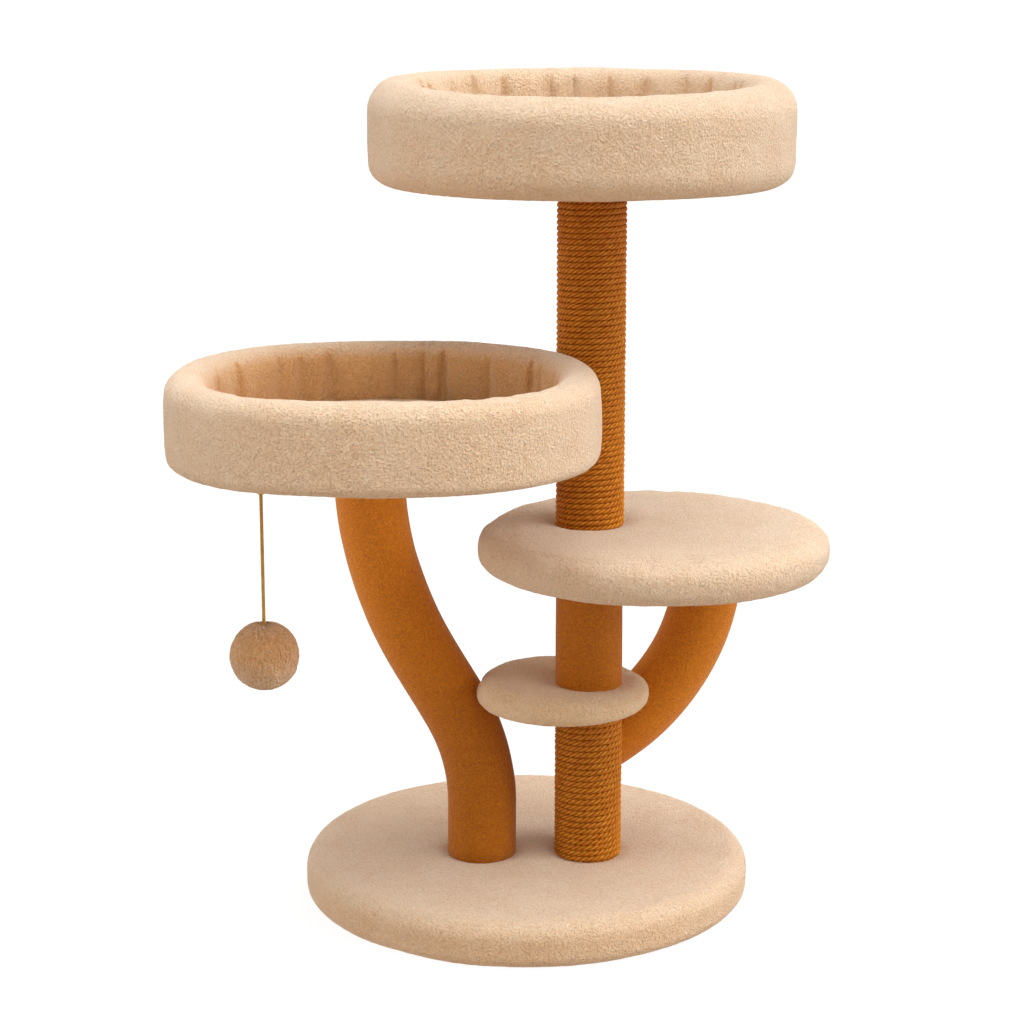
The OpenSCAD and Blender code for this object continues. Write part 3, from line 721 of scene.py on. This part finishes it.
def post_frames():
    """Start point and direction of the post's foot, leaning stretch (at the joint) and head."""
    lower = turn(0, -POST_TILT) @ turn(2, POST_AZIMUTH)
    foot = np.array([*POST_FOOT, heights("base_board_upper")[1]])
    rise = np.array([1 - math.cos(POST_LEAN), 0, math.sin(POST_LEAN)])
    bend_end = foot + lower @ (rise * POST_BENDS[0] + [0, 0, POST_STRAIGHT])
    leaning = lower @ turn(1, POST_LEAN)
    joint = bend_end + leaning @ [0, 0, POST_HALF]
    upper = leaning @ turn(2, POST_TWIST)
    head = joint + upper @ (rise * POST_BENDS[1] + [0, 0, POST_HALF])
    return (foot, lower[:, 2]), (joint, leaning[:, 2]), (head, (upper @ turn(1, POST_LEAN))[:, 2])


def post_path(high):
    """Centreline of the left post from the boards up to a level."""
    (foot, up), (joint, lean), (head, out) = post_frames()
    lower = turn(0, -POST_TILT) @ turn(2, POST_AZIMUTH)
    upper = lower @ turn(1, POST_LEAN) @ turn(2, POST_TWIST)

    def bend(r, start, count):
        """A bend of radius r that follows a straight stretch, up to the post's lean."""
        a = np.linspace(0, POST_LEAN, count)
        return np.stack([r * (1 - np.cos(a)), 0 * a, start + r * np.sin(a)], axis=1)

    first = foot + np.linspace(0, POST_STRAIGHT, 12)[[0, *range(3, 11)]][:, None] * up
    middle_part = joint + np.linspace(-POST_HALF, POST_HALF, 16)[1:-1, None] * lean
    last = (high - head[2]) / out[2]
    end = head + np.array([*np.linspace(0, last - 15 * MM, 12)[1:], last])[:, None] * out
    low_bend = foot + bend(POST_BENDS[0], POST_STRAIGHT, 30) @ lower.T
    high_bend = joint + bend(POST_BENDS[1], POST_HALF, 50) @ upper.T
    return np.concatenate([first, low_bend, middle_part, high_bend, end])


def branch_line(high):
    """(s, z) points of the branch's centreline, s from the trunk along its plane."""
    cs, cz = BRANCH_CENTRE
    line = [(cs + BRANCH_BEND * math.cos(a), cz + BRANCH_BEND * math.sin(a))
            for a in np.linspace(-BRANCH_TURN, 0, 80)]
    line += [(cs + BRANCH_BEND, cz + (high - cz) * k / 8) for k in range(1, 9)]
    return np.array(line)


def in_plane(line, origin, azimuth):
    """Places (s, z) points in the upright plane through origin."""
    s, z = line[:, 0], line[:, 1]
    return np.stack([origin[0] + s * math.cos(azimuth), origin[1] + s * math.sin(azimuth), z], axis=1)


def frames(path, up):
    """Tangent and two cross directions at each point of a path; up is any vector across it."""
    tangent = np.gradient(path, axis=0)
    tangent /= np.linalg.norm(tangent, axis=1)[:, None]
    side = np.cross(np.broadcast_to(up, tangent.shape), tangent)
    side /= np.linalg.norm(side, axis=1)[:, None]
    return tangent, side, np.cross(tangent, side)


def tube(name, path, radius, up, material, seam, segments=120, level_ends=True):
    """A closed felt tube along a path, with its butted seam at an angle. Its ends are cut level when
    level_ends is set.
    """
    tangent, side, cross = frames(path, up)
    angles = np.arange(segments) / segments * TAU
    r = np.full((len(path), segments), radius)
    away = (angles - seam + math.pi) % TAU - math.pi
    r -= SEAM_DEPTH * np.exp(-(away * radius / SEAM_WIDTH) ** 2)
    points = (path[:, None, :] + side[:, None, :] * (r * np.cos(angles))[:, :, None]
              + cross[:, None, :] * (r * np.sin(angles))[:, :, None])
    wrinkle = noise(points.reshape(-1, 3) * [1, 1, 1.8], 55 * MM, 77).reshape(r.shape)
    points += ((points - path[:, None, :]) / radius) * (wrinkle * 0.35 * MM)[:, :, None]
    if level_ends:
        for k in (0, -1):
            shift = (path[k, 2] - points[k, :, 2]) / tangent[k, 2]
            points[k] += shift[:, None] * tangent[k]
    return skin(name, points, path[[0, -1]], material)


# ---------------------------------------------------------------- rope


def laid_cord(name, path, up, radius, lay, strands, material, segments=16, depth=0.4, hand=-1, seed=0):
    """A laid cord along a path: its round section has one lobe a strand, and turns once in each lay."""
    _, side, cross = frames(path, up)
    length = np.concatenate([[0], np.cumsum(np.linalg.norm(np.diff(path, axis=0), axis=1))])
    angles = np.arange(segments) / segments * TAU
    twist = hand * length / lay * TAU + 0.5 * noise(path, 16 * MM, seed + 3)
    uneven = 1 + 0.03 * noise(path, 11 * MM, seed)
    lobe = 0.5 + 0.5 * np.cos(strands * (angles[None, :] - twist[:, None]))
    r = radius * uneven[:, None] * (1 - depth + depth * 1.1 * lobe ** 0.6)
    points = (path[:, None, :] + side[:, None, :] * (r * np.cos(angles))[:, :, None]
              + cross[:, None, :] * (r * np.sin(angles))[:, :, None])
    obj = skin(name, points, path[[0, -1]], material)
    # Painted shade: darker in the valleys between strands, and along two opposite sides of the cord,
    # where one winding meets the next on the trunk.
    between = smoothstep(np.abs(np.sin(angles)), 0.8, 1.0)[None, :]
    set_painted_shade(obj, np.append(np.maximum((1 - lobe) ** 1.3, 0.45 * between).ravel(), [0, 0]))
    return obj


def rope_winding(name, low, high, seed, pitch):
    """Sisal wound round the trunk from low to high, with the pitch that the photo's windings have."""
    radius = 0.56 * pitch  # windings press into each other a little
    r = ROPE_R - radius + 0.2 * MM
    turns = round((high - low - ROPE_D) / pitch)
    count = int(turns * TAU * r / (1.25 * MM))
    t = np.linspace(0, turns, count)
    a = t * TAU + 2.0
    z = low + ROPE_D / 2 + (high - low - ROPE_D) * t / turns
    wander = noise(np.stack([np.cos(a) * r, np.sin(a) * r, z * 3], axis=1), 60 * MM, seed)
    sway = noise(np.stack([np.cos(a) * r, np.sin(a) * r, z], axis=1), 45 * MM, seed + 5)
    sway = sway * smoothstep(np.minimum(z - low, high - z), 0, 12 * MM)
    path = np.stack([TRUNK[0] + (r + 0.25 * MM * wander) * np.cos(a),
                     TRUNK[1] + (r + 0.25 * MM * wander) * np.sin(a),
                     z + 0.3 * MM * wander + 1.1 * MM * sway], axis=1)
    return laid_cord(name, path, (0, 0, 1), radius, ROPE_LAY, 4, MATERIALS["sisal"], seed=seed)


# ---------------------------------------------------------------- bolsters


def rounded_profile(wall, height, shoulder, lip, foot, spacing):
    """Closed outline (across, up) of a bolster's section, from the inner foot round the outside."""
    def corner(cx, cz, rx, rz, a0, a1):
        return [(cx + rx * math.cos(a), cz + rz * math.sin(a)) for a in np.linspace(a0, a1, 14)]
    half, tight, quarter = wall / 2, 4 * MM, math.pi / 2
    line = corner(-half + tight, tight, tight, tight, math.pi, 1.5 * math.pi)
    line += corner(half - foot, foot, foot, foot, -quarter, 0)
    line += corner(half - shoulder[0], height - shoulder[1], *shoulder, 0, quarter)
    line += corner(-half + lip[0], height - lip[1], *lip, quarter, math.pi)
    line = np.array(line + line[:1])
    along = np.concatenate([[0], np.cumsum(np.linalg.norm(np.diff(line, axis=0), axis=1))])
    at = np.linspace(0, along[-1], round(along[-1] / spacing) + 1)[:-1]
    return np.stack([np.interp(at, along, line[:, k]) for k in (0, 1)], axis=1)


def inflate(obj, pins, pressure, cap, slack=0.0, frames_run=18):
    """Swells the piece as stuffed cloth, holding the pinned points; cap is how far each may move."""
    before = coordinates(obj)
    group = obj.vertex_groups.new(name="pins")
    group.add([int(k) for k in np.flatnonzero(pins)], 1.0, "REPLACE")
    cloth = obj.modifiers.new("swell", "CLOTH")
    cloth.settings.vertex_group_mass = "pins"
    cloth.settings.quality = 5
    cloth.settings.mass = 0.15
    cloth.settings.bending_stiffness = 0.3
    cloth.settings.shrink_min = -slack
    cloth.settings.use_pressure = True
    cloth.settings.uniform_pressure_force = pressure
    cloth.settings.effector_weights.gravity = 0
    cloth.point_cache.frame_start = 1
    cloth.point_cache.frame_end = frames_run
    scene = bpy.context.scene
    for k in range(1, frames_run + 1):
        scene.frame_set(k)
    evaluated = obj.evaluated_get(bpy.context.evaluated_depsgraph_get())
    after = np.empty(len(before) * 3)
    evaluated.data.vertices.foreach_get("co", after)
    move = after.reshape(-1, 3) - before
    obj.modifiers.remove(cloth)
    obj.vertex_groups.clear()
    scene.frame_set(1)
    size = np.linalg.norm(move, axis=1) + 1e-9
    cap = np.broadcast_to(cap, size.shape)
    set_coordinates(obj, before + move * (cap * np.tanh(size / cap) / size)[:, None])


def subdivide(obj):
    """Applies one level of smooth subdivision."""
    modifier = obj.modifiers.new("fine", "SUBSURF")
    modifier.levels = 1
    evaluated = obj.evaluated_get(bpy.context.evaluated_depsgraph_get())
    mesh = bpy.data.meshes.new_from_object(evaluated)
    obj.modifiers.clear()
    old = obj.data
    obj.data = mesh
    bpy.data.meshes.remove(old)
    mesh.name = obj.name
    mesh.polygons.foreach_set("use_smooth", [True] * len(mesh.polygons))


def crease_angles(count, seed):
    """Uneven angles of a bed's gathers, and how deep each is."""
    rng = np.random.default_rng(seed)
    at = (np.arange(count) + rng.uniform(-0.42, 0.42, count)) / count * TAU
    return at, rng.uniform(0.3, 1.0, count)


def squarish(angle, squareness):
    """How far a not quite round bed reaches at an angle; squareness is (back left, back right, front)."""
    left, right, ahead = squareness
    n = right + (left - right) * smoothstep(-np.cos(angle), -0.3, 0.3)
    n = n + (ahead - n) * smoothstep(-np.sin(angle), -0.3, 0.3)
    return (np.abs(np.cos(angle)) ** n + np.abs(np.sin(angle)) ** n) ** (-1 / n)


def bolster(name, node, wall, slim, shoulder, lip, foot, squareness, dip, creases, seed, shade):
    """A stuffed ring with a rounded rim. Its inner wall is gathered at a number of creases."""
    x0, y0 = middle(node)
    radius = half_width(node)
    z0, z1 = heights(node)
    swell = 1.2 * MM
    segments = 360

    def fullness(angle):
        return squarish(angle, squareness)

    def front(angle):
        return (0.5 - 0.5 * np.sin(angle)) ** 1.6

    angles = np.arange(segments) / segments * TAU
    tall = z1 - z0 - 2 * swell
    profile = rounded_profile(wall - 2 * swell, tall, shoulder, lip, foot, 4.6 * MM)
    across, up = profile[:, 0], profile[:, 1]
    at, deep = crease_angles(creases, seed)
    inner = smoothstep(-across, 0.15 * wall, 0.42 * wall)
    crease = np.zeros(segments)
    for a, d in zip(at, deep):
        column = int(round(a / TAU * segments)) % segments
        crease[column] = max(crease[column], d)
    gathered = inner[:, None] * (up[:, None] < tall - (20 - 12 * crease[None, :]) * MM)
    barrel = 1.2 * MM * np.sin(math.pi * up / tall) * (across > 0)
    r = (radius - wall / 2 - slim) * fullness(angles)[None, :] + (across + barrel)[:, None]
    r += gathered * crease[None, :] * 3.0 * MM
    sunk = smoothstep(up / tall, 0.1, 1.0)[:, None] * dip * front(angles) / tall
    z = z0 + swell + up[:, None] * (1 - sunk)
    x = x0 + r * np.cos(angles)[None, :]
    y = y0 + r * np.sin(angles)[None, :]
    points = np.stack([x, y, z], axis=-1).reshape(-1, 3)
    obj = new_mesh(name, points, ring_faces(len(profile), segments, closed_rows=True),
                   material=MATERIALS["plush_light"])
    held = (gathered > 0.5) & (crease[None, :] > 0)
    held |= (up < 3 * MM)[:, None]
    cap = (1.4 * MM + 4.0 * MM * inner)[:, None] * np.ones(segments)[None, :]
    inflate(obj, held.ravel(), 3.2, cap.ravel(), slack=0.006)
    subdivide(obj)
    p = coordinates(obj)
    dx, dy = p[:, 0] - x0, p[:, 1] - y0
    angle = np.arctan2(dy, dx)
    reach = np.hypot(dx, dy) - (radius - wall / 2) * fullness(angle)
    depth = z1 - dip * front(angle) - p[:, 2]
    inside = smoothstep(-reach, 0.0, 0.3 * wall)
    fold = np.zeros(len(p))
    for a, d in zip(at, deep):
        bow = 2.5 * MM * math.sin(a * 9) * depth / (40 * MM)
        away = np.abs((angle - a + math.pi) % TAU - math.pi) * (radius - wall) + bow
        reach_up = smoothstep(depth, (10 - 9 * d) * MM, (24 - 14 * d) * MM)
        fold = np.maximum(fold, d * np.exp(-(np.abs(away) / (2.4 * MM)) ** 1.4) * reach_up)
    puff(obj, -3.2 * MM * fold * inside)
    drape = noise(np.stack([angle * 0.12, p[:, 2] * 0.3, reach * 0], axis=1), 9 * MM, seed + 7)
    puff(obj, 0.8 * MM * drape * inside)
    pile(obj, seed)
    # Painted shade: the colour deepens on the inner wall below the rim and along each gather's crease,
    # and a little all over, by the bed's shade.
    wall_shade = smoothstep(-reach, -0.05 * wall, 0.3 * wall) * smoothstep(depth, -1 * MM, 22 * MM)
    set_painted_shade(obj, np.clip(shade * (wall_shade + 0.1) + (0.35 + 0.4 * shade) * fold * inside, 0, 1.6))
    finish_piece(obj, "stand", "plush_light", node)
    return obj


# ---------------------------------------------------------------- the object

make_camera()
make_light()
make_floor()

def round_outline(radius):
    """The outline of a round pad."""
    return lambda angle: radius


def build_base():
    """The base's padded cover, hollow over its boards, and the felt liner under it."""
    posts = [(*POST_FOOT, POST_R), (*TRUNK, ROPE_R)]
    z0, z1 = heights("base_cover")
    hollow = (half_width("base_board_upper"), heights("base_board_upper")[1])
    outline = round_outline(half_width("base_cover"))
    base = pad("base_plush", (0, 0), outline, z0, z1, BASE_EDGES, MATERIALS["plush_light"], segments=520,
               hollow=hollow)
    press(base, (0, 0), half_width("base_cover"), 0.0, posts, BASE_DENT)
    pile(base, 3)
    points = coordinates(base)
    points[:, 2] = np.maximum(points[:, 2], z0 + 0.2 * MM)
    set_coordinates(base, points)
    # Painted shade: the cover deepens a little all over and more down its side below the top edge.
    set_painted_shade(base, 0.1 + 0.3 * smoothstep(z1 - points[:, 2], 4 * MM, 24 * MM))
    finish_piece(base, "stand", "plush_light", "base_cover")
    liner = soften("base_liner", "base_liner_felt", "liner", 0, 0.0, 81)
    finish_piece(liner, "stand", "liner", "base_liner")


def build_perches():
    """The platform and the step: stuffed pads that the trunk presses into."""
    z0, z1 = heights("platform_cover")
    radius = half_width("platform_cover")
    centre = middle("platform_cover")
    posts = [(*TRUNK, ROPE_R)]
    platform = pad("platform_plush", centre, round_outline(radius - 0.6 * MM), z0 - 0.3 * MM,
                   z1 - 0.6 * MM, PLATFORM_EDGES, MATERIALS["plush_light"])
    stuff(platform, 4.6 * MM, 1.6, 2.2 * MM, posts)
    press(platform, centre, radius, CROWN, posts, PLATFORM_DENT)
    pile(platform, 11)
    finish_piece(platform, "stand", "plush_light", "platform_cover")
    z0, z1 = heights("step_cover")
    posts = [(*TRUNK, MID_R)]
    step = pad("step_plush", STEP_XY, step_outline, z0 + 0.5 * MM, z1 - 1 * MM, STEP_EDGES,
               MATERIALS["plush"], segments=320, step=2.6 * MM)
    stuff(step, 3.4 * MM, 1.6, 1.6 * MM, posts)
    press(step, STEP_XY, STEP_R, CROWN, posts, STEP_DENT)
    pile(step, 17)
    finish_piece(step, "stand", "plush", "step_cover")


def soften(node, name, slot, size, amount, seed):
    """Stands in for a small soft CAD piece: its own shape, finely divided and made uneven."""
    copy = bpy.data.objects.new(name, NODES[node].data.copy())
    copy.matrix_world = NODES[node].matrix_world
    bpy.context.scene.collection.objects.link(copy)
    bpy.context.view_layer.update()
    place = np.array(copy.matrix_world)
    points = coordinates(copy) @ place[:3, :3].T + place[:3, 3]
    copy.matrix_world = Matrix()
    set_coordinates(copy, points)
    if size:
        remesh(copy, size)
    puff(copy, amount * noise(coordinates(copy), 2.2 * MM + amount * 4, seed))
    copy.data.materials.clear()
    copy.data.materials.append(MATERIALS[slot])
    copy.data.polygons.foreach_set("use_smooth", [True] * len(copy.data.polygons))
    return copy


def build_posts():
    """The felt sleeves of the left post, the branch and the middle of the trunk."""
    felt_material = MATERIALS["felt"]
    path = post_path(heights("left_post_sleeve_upper")[1])
    left = tube("left_post_felt", path, POST_R, (0, 1, 0), felt_material, seam=math.pi / 2)
    # Painted shade: the felt darkens towards the foot of the post.
    set_painted_shade(left, 1 - smoothstep(coordinates(left)[:, 2], 100 * MM, 400 * MM))
    finish_piece(left, "stand", "felt", "left_post_sleeve_lower", "left_post_sleeve_upper")
    line = branch_line(heights("branch_sleeve")[1])
    path = in_plane(line, (TRUNK[0], TRUNK[1] + BRANCH_BACK), BRANCH_AZIMUTH)
    across = (-math.sin(BRANCH_AZIMUTH), math.cos(BRANCH_AZIMUTH), 0)
    branch = tube("branch_felt", path, BRANCH_R, across, felt_material, seam=math.pi / 2,
                  level_ends=False)
    # Painted shade: the branch's felt deepens a little all over.
    set_painted_shade(branch, np.full(len(branch.data.vertices), 0.15))
    finish_piece(branch, "stand", "felt", "branch_sleeve", "branch_end_cap")
    low, high = heights("trunk_mid_sleeve")
    path = np.array([(*TRUNK, z) for z in np.linspace(low - 12 * MM, high, 40)])
    mid = tube("trunk_mid_felt", path, MID_R, (1, 0, 0), felt_material, seam=math.pi)
    # Painted shade: the trunk's middle sleeve is darker all over.
    set_painted_shade(mid, np.full(len(mid.data.vertices), 0.75))
    finish_piece(mid, "stand", "felt", "trunk_mid_sleeve")


def build_ropes():
    """The sisal on the lower and upper trunk."""
    for node, (sunk, pitch, seed) in ROPES.items():
        low, high = heights(node)
        rope = rope_winding(node.replace("_rope", "_sisal"), low - sunk, high, seed, pitch)
        finish_piece(rope, "stand", "sisal", node)


def soft_round(name, node, body, slot, edge, crown, seed, squareness, grow=0.0, sim=True):
    """A thin round mat or pad in the place of its CAD disc, swollen as cloth when sim is set."""
    z0, z1 = heights(node)
    radius = half_width(node)
    slim = 1.0 * MM
    segments = 200
    angles = np.arange(segments) / segments * TAU
    x0, y0 = middle(node)
    rings = []
    for u in np.linspace(0, 1, 36)[1:]:
        rings.append(((radius - edge) * u, z1 - slim))
    for a in np.linspace(0, math.pi, 9)[1:-1]:
        reach = radius - edge + (edge - slim) * math.sin(a)
        rings.append((reach, (z0 + z1) / 2 + ((z1 - z0) / 2 - slim) * math.cos(a)))
    for u in np.linspace(1, 0, 36)[:-1]:
        rings.append(((radius - edge) * u, z0 + slim * 0.5))
    full = squarish(angles, squareness) * (radius + grow) / radius
    east, north = full * np.cos(angles), full * np.sin(angles)
    points = [np.stack([x0 + r * east, y0 + r * north, np.full(segments, z)], axis=1) for r, z in rings]
    ends = [(x0, y0, z1 - slim), (x0, y0, z0 + slim * 0.5)]
    obj = skin(name, points, ends, MATERIALS[slot], flip=True)
    if sim:
        remesh(obj, 4.5 * MM)
        p = coordinates(obj)
        held = (p[:, 2] < z0 + 2.5 * MM) & (np.hypot(p[:, 0] - x0, p[:, 1] - y0) < radius - edge)
        inflate(obj, held, 2.0, crown, slack=0.01, frames_run=14)
        subdivide(obj)
    p = coordinates(obj)
    out = np.hypot(p[:, 0] - x0, p[:, 1] - y0)
    up = normals(obj)[:, 2] > 0.3
    p[:, 2] += up * (crown * 0.5 * np.clip(1 - (out / radius) ** 2, 0, 1))
    set_coordinates(obj, p)
    pile(obj, seed, sway=0.7 * MM)
    finish_piece(obj, body, slot, node)
    return obj


def build_beds():
    """Each bed's bolster, its loose mat, its underside pad and its lining."""
    for bed, shape in BEDS.items():
        bolster(bed + "_bolster_plush", bed + "_bolster", **shape)
    for bed, seed in (("left", 50), ("top", 60)):
        node = bed + "_bed_"
        square = BEDS[bed + "_bed"]["squareness"]
        soft_round(node + "mat", node + "cushion", bed + "_cushion", "plush", MAT_EDGE, MAT_CROWN, seed,
                   square, -1 * MM)
        soft_round(node + "underside_pad", node + "underside", "stand", "plush", 2 * MM, 0.0, seed + 1,
                   square, sim=False)
        soft_round(node + "lining_cloth", node + "lining", "stand", "plush", 1 * MM, 0.0, seed + 2,
                   square, 2 * MM, sim=False)


def make_ball():
    """The plush ball: fine hair that runs down from the string, in a dimple at the top."""
    z0, z1 = heights("toy_ball_cover")
    ball_r, zc = (z1 - z0) / 2, (z0 + z1) / 2
    rows, segments = 150, 300
    polar = (np.arange(rows) + 0.5) / rows * math.pi
    angles = np.arange(segments) / segments * TAU
    x = np.sin(polar)[:, None] * np.cos(angles)[None, :]
    y = np.sin(polar)[:, None] * np.sin(angles)[None, :]
    z = np.broadcast_to(np.cos(polar)[:, None], x.shape)
    unit = np.stack([x, y, z], axis=-1).reshape(-1, 3)
    fall = np.arccos(np.clip(unit[:, 2], -1, 1)) * ball_r
    dimple = -4.0 * MM * np.exp(-(fall / (6 * MM)) ** 2)
    about = np.arctan2(unit[:, 1], unit[:, 0]) - math.pi / 2
    about = about % TAU * ball_r + 1.5 * MM * noise(unit * ball_r, 12 * MM, 40)
    hair = noise(np.stack([about, fall * 0.34, fall * 0], axis=1), 1.3 * MM, 44)
    tufts = (0.55 * MM * hair + 0.25 * MM * noise(unit * ball_r, 6 * MM, 41)
             + 0.5 * MM * noise(unit * ball_r, 26 * MM, 43))
    points = unit * (ball_r - 0.4 * MM + dimple + tufts)[:, None] + np.array([*TOY, zc])
    ends = [points[:segments].mean(axis=0), points[-segments:].mean(axis=0)]
    points = points.reshape(rows, segments, 3)
    ball = skin("toy_ball_plush", points, ends, MATERIALS["ball_plush"], flip=True)
    # Painted shade: darker over the upper half, easing off at the very top, and in the hollows between
    # tufts.
    painted_upper_shade = 0.8 * smoothstep(unit[:, 2], -0.75, 0.45) * (1 - 0.4 * smoothstep(unit[:, 2], 0.6, 0.95))
    set_painted_shade(ball, np.append(painted_upper_shade + 0.45 * smoothstep(-hair, -0.1, 0.6), [0, 0]))
    finish_piece(ball, "toy", "ball_plush", "toy_ball_cover")
    return ball


def build_toy():
    """The string, the ball, the loop and the knot."""
    fine = np.array([(*TOY, z) for z in np.linspace(STRING_TOP, STRING_TOP - STRING_ROUTE[-1] * MM, 220)])
    string = laid_cord("toy_string_laid", fine, (1, 0, 0), STRING_D / 2 * 1.06, STRING_LAY, 3,
                       MATERIALS["string"], segments=12, depth=0.1, seed=2)
    finish_piece(string, "toy", "string", "toy_string")
    ball = make_ball()
    for node in ("toy_loop", "toy_knot"):
        tie = soften(node, node + "_tied", "string", 0.4 * MM, 0.12 * MM, 71)
        finish_piece(tie, "toy", "string", node)


build_base()
build_perches()
build_posts()
build_ropes()
build_beds()
build_toy()
